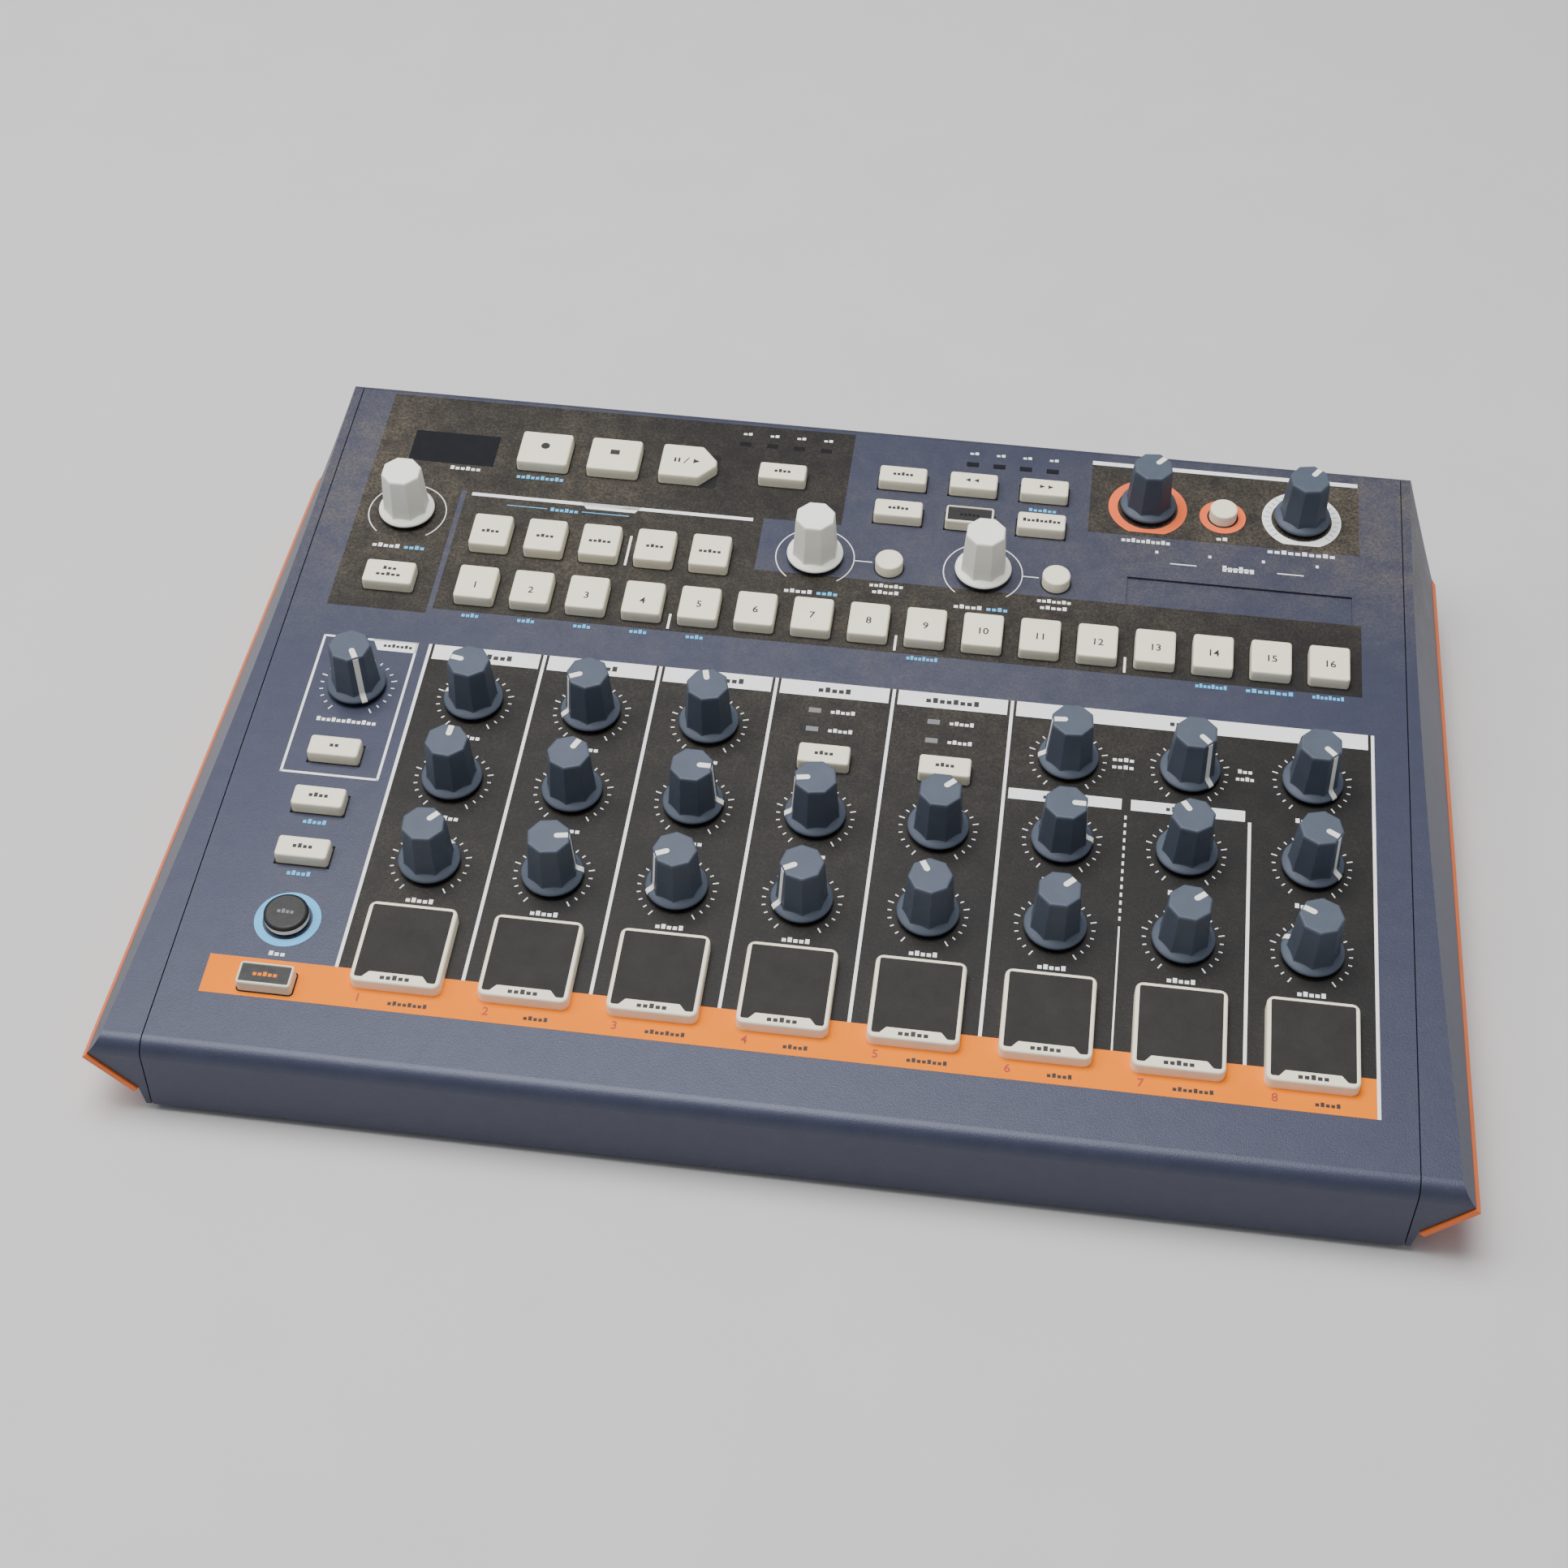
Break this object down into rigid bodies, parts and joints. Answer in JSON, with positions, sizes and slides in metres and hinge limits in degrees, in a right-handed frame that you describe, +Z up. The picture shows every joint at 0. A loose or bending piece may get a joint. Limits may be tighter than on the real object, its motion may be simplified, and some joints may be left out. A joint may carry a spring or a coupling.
{
  "type": "drum machine",
  "caption": "Desktop drum machine: wedge-shaped blue case with tapered knobs, beige step keys and square rubber pads on a sloping panel, orange side plates.",
  "frame": {"origin": "middle of the part's footprint on the surface it stands on", "axes": "+X to the player's right, along the longest side, +Y to the rear, +Z up"},
  "size_m": [0.3472, 0.2481, 0.0638],
  "materials": {
    "case_blue": "satin powder coat",
    "dark_steel": "satin",
    "orange_metal": "satin anodised look",
    "board_green": "matte",
    "inner_black": "matte",
    "smoked_window": "gloss",
    "foot_rubber": "matte",
    "screw_steel": "satin",
    "knob_grey": "satin",
    "knob_cream": "satin",
    "key_beige": "matte",
    "pad_rubber": "matte"
  },
  "bodies": {
    "case": {"top_cover": "case_blue", "bottom_tray": "dark_steel", "left_end_cap": "case_blue", "right_end_cap": "case_blue", "side_plates": "orange_metal", "control_board": "board_green", "jack_board": "board_green", "potentiometers": "inner_black", "key_switches": "inner_black", "status_windows": "smoked_window", "rear_sockets": "inner_black", "rubber_feet": "foot_rubber", "case_screws": "screw_steel"},
    "step_keys_1_8_body": {"step_keys_1_8": "key_beige"},
    "step_keys_9_16_body": {"step_keys_9_16": "key_beige"},
    "transport_keys_body": {"transport_keys": "key_beige"},
    "pad_1_body": {"pad_1": "pad_rubber"},
    "pad_5_body": {"pad_5": "pad_rubber"},
    "volume_knob_body": {"volume_knob": "knob_grey"},
    "drive_knob_body": {"drive_knob": "knob_grey"},
    "rate_knob_body": {"rate_knob": "knob_cream"},
    "click_volume_knob_body": {"click_volume_knob": "knob_grey"},
    "power_button_body": {"power_button": "inner_black"},
    "mode_keys_body": {"mode_keys": "key_beige"},
    "edit_keys_body": {"edit_keys": "key_beige"},
    "left_column_keys_body": {"left_column_keys": "key_beige"},
    "round_keys_body": {"round_keys": "key_beige"},
    "type_keys_body": {"type_keys": "key_beige"},
    "shift_key_body": {"shift_key": "key_beige"},
    "colour_key_body": {"colour_key": "key_beige"},
    "channel_1_level_knob_body": {"channel_1_level_knob": "knob_grey"},
    "channel_8_level_knob_body": {"channel_8_level_knob": "knob_grey"},
    "channel_4_level_knob_body": {"channel_4_level_knob": "knob_grey"},
    "channel_1_upper_knob_body": {"channel_1_upper_knob": "knob_grey"},
    "channel_8_upper_knob_body": {"channel_8_upper_knob": "knob_grey"},
    "channel_4_middle_knob_body": {"channel_4_middle_knob": "knob_grey"},
    "swing_knob_body": {"swing_knob": "knob_cream"},
    "random_knob_body": {"random_knob": "knob_cream"},
    "channel_1_middle_knob_body": {"channel_1_middle_knob": "knob_grey"},
    "channel_2_upper_knob_body": {"channel_2_upper_knob": "knob_grey"},
    "channel_2_middle_knob_body": {"channel_2_middle_knob": "knob_grey"},
    "channel_2_level_knob_body": {"channel_2_level_knob": "knob_grey"},
    "channel_3_upper_knob_body": {"channel_3_upper_knob": "knob_grey"},
    "channel_3_middle_knob_body": {"channel_3_middle_knob": "knob_grey"},
    "channel_3_level_knob_body": {"channel_3_level_knob": "knob_grey"},
    "channel_5_middle_knob_body": {"channel_5_middle_knob": "knob_grey"},
    "channel_5_level_knob_body": {"channel_5_level_knob": "knob_grey"},
    "channel_6_upper_knob_body": {"channel_6_upper_knob": "knob_grey"},
    "channel_6_middle_knob_body": {"channel_6_middle_knob": "knob_grey"},
    "channel_6_level_knob_body": {"channel_6_level_knob": "knob_grey"},
    "channel_7_upper_knob_body": {"channel_7_upper_knob": "knob_grey"},
    "channel_7_middle_knob_body": {"channel_7_middle_knob": "knob_grey"},
    "channel_7_level_knob_body": {"channel_7_level_knob": "knob_grey"},
    "channel_8_middle_knob_body": {"channel_8_middle_knob": "knob_grey"},
    "pad_2_body": {"pad_2": "pad_rubber"},
    "pad_3_body": {"pad_3": "pad_rubber"},
    "pad_4_body": {"pad_4": "pad_rubber"},
    "pad_6_body": {"pad_6": "pad_rubber"},
    "pad_7_body": {"pad_7": "pad_rubber"},
    "pad_8_body": {"pad_8": "pad_rubber"}
  },
  "joints": [
    {"name": "step_keys_1_8_press", "type": "slide", "parent": "case", "child": "step_keys_1_8_body", "axis": [0, 0.0941, -0.9956], "range_m": [0, 0.001], "stiffness_N_per_m": 1500},
    {"name": "step_keys_9_16_press", "type": "slide", "parent": "case", "child": "step_keys_9_16_body", "axis": [0, 0.0941, -0.9956], "range_m": [0, 0.001], "stiffness_N_per_m": 1500},
    {"name": "transport_keys_press", "type": "slide", "parent": "case", "child": "transport_keys_body", "axis": [0, 0.0941, -0.9956], "range_m": [0, 0.001], "stiffness_N_per_m": 1500},
    {"name": "pad_1_press", "type": "slide", "parent": "case", "child": "pad_1_body", "axis": [0, 0.0941, -0.9956], "range_m": [0, 0.0008], "stiffness_N_per_m": 6000},
    {"name": "pad_5_press", "type": "slide", "parent": "case", "child": "pad_5_body", "axis": [0, 0.0941, -0.9956], "range_m": [0, 0.0008], "stiffness_N_per_m": 6000},
    {"name": "volume_knob_turn", "type": "hinge", "parent": "case", "child": "volume_knob_body", "pos_m": [0.1291, 0.0997, 0.04633], "axis": [0, 0.0941, -0.9956], "range_deg": [-185, 115]},
    {"name": "drive_knob_turn", "type": "hinge", "parent": "case", "child": "drive_knob_body", "pos_m": [0.0839, 0.09911, 0.04627], "axis": [0, 0.0941, -0.9956], "range_deg": [-190, 110]},
    {"name": "rate_knob_turn", "type": "hinge", "parent": "case", "child": "rate_knob_body", "pos_m": [-0.1332, 0.06924, 0.04345], "axis": [0, 0.0941, -0.9956], "continuous": true},
    {"name": "click_volume_knob_turn", "type": "hinge", "parent": "case", "child": "click_volume_knob_body", "pos_m": [-0.132, 0.00055, 0.03695], "axis": [0, 0.0941, -0.9956], "range_deg": [-300, 0]},
    {"name": "power_button_press", "type": "slide", "parent": "case", "child": "power_button_body", "axis": [0, -1, 0], "range_m": [0, 0.0009], "stiffness_N_per_m": 2000},
    {"name": "mode_keys_press", "type": "slide", "parent": "case", "child": "mode_keys_body", "axis": [0, 0.0941, -0.9956], "range_m": [0, 0.001], "stiffness_N_per_m": 1500},
    {"name": "edit_keys_press", "type": "slide", "parent": "case", "child": "edit_keys_body", "axis": [0, 0.0941, -0.9956], "range_m": [0, 0.001], "stiffness_N_per_m": 1500},
    {"name": "left_column_keys_press", "type": "slide", "parent": "case", "child": "left_column_keys_body", "axis": [0, 0.0941, -0.9956], "range_m": [0, 0.001], "stiffness_N_per_m": 1500},
    {"name": "round_keys_press", "type": "slide", "parent": "case", "child": "round_keys_body", "axis": [0, 0.0941, -0.9956], "range_m": [0, 0.001], "stiffness_N_per_m": 1500},
    {"name": "type_keys_press", "type": "slide", "parent": "case", "child": "type_keys_body", "axis": [0, 0.0941, -0.9956], "range_m": [0, 0.001], "stiffness_N_per_m": 1500},
    {"name": "shift_key_press", "type": "slide", "parent": "case", "child": "shift_key_body", "axis": [0, 0.0941, -0.9956], "range_m": [0, 0.001], "stiffness_N_per_m": 1500},
    {"name": "colour_key_press", "type": "slide", "parent": "case", "child": "colour_key_body", "axis": [0, 0.0941, -0.9956], "range_m": [0, 0.001], "stiffness_N_per_m": 1500},
    {"name": "channel_1_level_knob_turn", "type": "hinge", "parent": "case", "child": "channel_1_level_knob_body", "pos_m": [-0.0985, -0.0576, 0.03146], "axis": [0, 0.0941, -0.9956], "range_deg": [-190, 110]},
    {"name": "channel_8_level_knob_turn", "type": "hinge", "parent": "case", "child": "channel_8_level_knob_body", "pos_m": [0.13222, -0.0576, 0.03146], "axis": [0, 0.0941, -0.9956], "range_deg": [-85, 215]},
    {"name": "channel_4_level_knob_turn", "type": "hinge", "parent": "case", "child": "channel_4_level_knob_body", "pos_m": [0.00038, -0.0576, 0.03146], "axis": [0, 0.0941, -0.9956], "range_deg": [-30, 270]},
    {"name": "channel_1_upper_knob_turn", "type": "hinge", "parent": "case", "child": "channel_1_upper_knob_body", "pos_m": [-0.0985, -0.00085, 0.03682], "axis": [0, 0.0941, -0.9956], "range_deg": [-70, 230]},
    {"name": "channel_8_upper_knob_turn", "type": "hinge", "parent": "case", "child": "channel_8_upper_knob_body", "pos_m": [0.13222, -0.00085, 0.03682], "axis": [0, 0.0941, -0.9956], "range_deg": [-285, 15]},
    {"name": "channel_4_middle_knob_turn", "type": "hinge", "parent": "case", "child": "channel_4_middle_knob_body", "pos_m": [0.00038, -0.02922, 0.03414], "axis": [0, 0.0941, -0.9956], "range_deg": [-50, 250]},
    {"name": "swing_knob_turn", "type": "hinge", "parent": "case", "child": "swing_knob_body", "pos_m": [-0.0114, 0.06645, 0.04318], "axis": [0, 0.0941, -0.9956], "range_deg": [-150, 150]},
    {"name": "random_knob_turn", "type": "hinge", "parent": "case", "child": "random_knob_body", "pos_m": [0.0376, 0.06645, 0.04318], "axis": [0, 0.0941, -0.9956], "range_deg": [-150, 150]},
    {"name": "channel_1_middle_knob_turn", "type": "hinge", "parent": "case", "child": "channel_1_middle_knob_body", "pos_m": [-0.0985, -0.02922, 0.03414], "axis": [0, 0.0941, -0.9956], "range_deg": [-155, 145]},
    {"name": "channel_2_upper_knob_turn", "type": "hinge", "parent": "case", "child": "channel_2_upper_knob_body", "pos_m": [-0.06554, -0.00085, 0.03682], "axis": [0, 0.0941, -0.9956], "range_deg": [-35, 265]},
    {"name": "channel_2_middle_knob_turn", "type": "hinge", "parent": "case", "child": "channel_2_middle_knob_body", "pos_m": [-0.06554, -0.02922, 0.03414], "axis": [0, 0.0941, -0.9956], "range_deg": [-175, 125]},
    {"name": "channel_2_level_knob_turn", "type": "hinge", "parent": "case", "child": "channel_2_level_knob_body", "pos_m": [-0.06554, -0.0576, 0.03146], "axis": [0, 0.0941, -0.9956], "range_deg": [-230, 70]},
    {"name": "channel_3_upper_knob_turn", "type": "hinge", "parent": "case", "child": "channel_3_upper_knob_body", "pos_m": [-0.03258, -0.00085, 0.03682], "axis": [0, 0.0941, -0.9956], "range_deg": [-135, 165]},
    {"name": "channel_3_middle_knob_turn", "type": "hinge", "parent": "case", "child": "channel_3_middle_knob_body", "pos_m": [-0.03258, -0.02922, 0.03414], "axis": [0, 0.0941, -0.9956], "range_deg": [-240, 60]},
    {"name": "channel_3_level_knob_turn", "type": "hinge", "parent": "case", "child": "channel_3_level_knob_body", "pos_m": [-0.03258, -0.0576, 0.03146], "axis": [0, 0.0941, -0.9956], "range_deg": [-35, 265]},
    {"name": "channel_5_middle_knob_turn", "type": "hinge", "parent": "case", "child": "channel_5_middle_knob_body", "pos_m": [0.03334, -0.02922, 0.03414], "axis": [0, 0.0941, -0.9956], "range_deg": [-195, 105]},
    {"name": "channel_5_level_knob_turn", "type": "hinge", "parent": "case", "child": "channel_5_level_knob_body", "pos_m": [0.03334, -0.0576, 0.03146], "axis": [0, 0.0941, -0.9956], "range_deg": [-120, 180]},
    {"name": "channel_6_upper_knob_turn", "type": "hinge", "parent": "case", "child": "channel_6_upper_knob_body", "pos_m": [0.0663, -0.00085, 0.03682], "axis": [0, 0.0941, -0.9956], "range_deg": [-55, 245]},
    {"name": "channel_6_middle_knob_turn", "type": "hinge", "parent": "case", "child": "channel_6_middle_knob_body", "pos_m": [0.0663, -0.02922, 0.03414], "axis": [0, 0.0941, -0.9956], "range_deg": [-240, 60]},
    {"name": "channel_6_level_knob_turn", "type": "hinge", "parent": "case", "child": "channel_6_level_knob_body", "pos_m": [0.0663, -0.0576, 0.03146], "axis": [0, 0.0941, -0.9956], "range_deg": [-195, 105]},
    {"name": "channel_7_upper_knob_turn", "type": "hinge", "parent": "case", "child": "channel_7_upper_knob_body", "pos_m": [0.09926, -0.00085, 0.03682], "axis": [0, 0.0941, -0.9956], "range_deg": [-285, 15]},
    {"name": "channel_7_middle_knob_turn", "type": "hinge", "parent": "case", "child": "channel_7_middle_knob_body", "pos_m": [0.09926, -0.02922, 0.03414], "axis": [0, 0.0941, -0.9956], "range_deg": [-115, 185]},
    {"name": "channel_7_level_knob_turn", "type": "hinge", "parent": "case", "child": "channel_7_level_knob_body", "pos_m": [0.09926, -0.0576, 0.03146], "axis": [0, 0.0941, -0.9956], "range_deg": [-200, 100]},
    {"name": "channel_8_middle_knob_turn", "type": "hinge", "parent": "case", "child": "channel_8_middle_knob_body", "pos_m": [0.13222, -0.02922, 0.03414], "axis": [0, 0.0941, -0.9956], "range_deg": [-270, 30]},
    {"name": "pad_2_press", "type": "slide", "parent": "case", "child": "pad_2_body", "axis": [0, 0.0941, -0.9956], "range_m": [0, 0.0008], "stiffness_N_per_m": 6000},
    {"name": "pad_3_press", "type": "slide", "parent": "case", "child": "pad_3_body", "axis": [0, 0.0941, -0.9956], "range_m": [0, 0.0008], "stiffness_N_per_m": 6000},
    {"name": "pad_4_press", "type": "slide", "parent": "case", "child": "pad_4_body", "axis": [0, 0.0941, -0.9956], "range_m": [0, 0.0008], "stiffness_N_per_m": 6000},
    {"name": "pad_6_press", "type": "slide", "parent": "case", "child": "pad_6_body", "axis": [0, 0.0941, -0.9956], "range_m": [0, 0.0008], "stiffness_N_per_m": 6000},
    {"name": "pad_7_press", "type": "slide", "parent": "case", "child": "pad_7_body", "axis": [0, 0.0941, -0.9956], "range_m": [0, 0.0008], "stiffness_N_per_m": 6000},
    {"name": "pad_8_press", "type": "slide", "parent": "case", "child": "pad_8_body", "axis": [0, 0.0941, -0.9956], "range_m": [0, 0.0008], "stiffness_N_per_m": 6000}
  ]
}
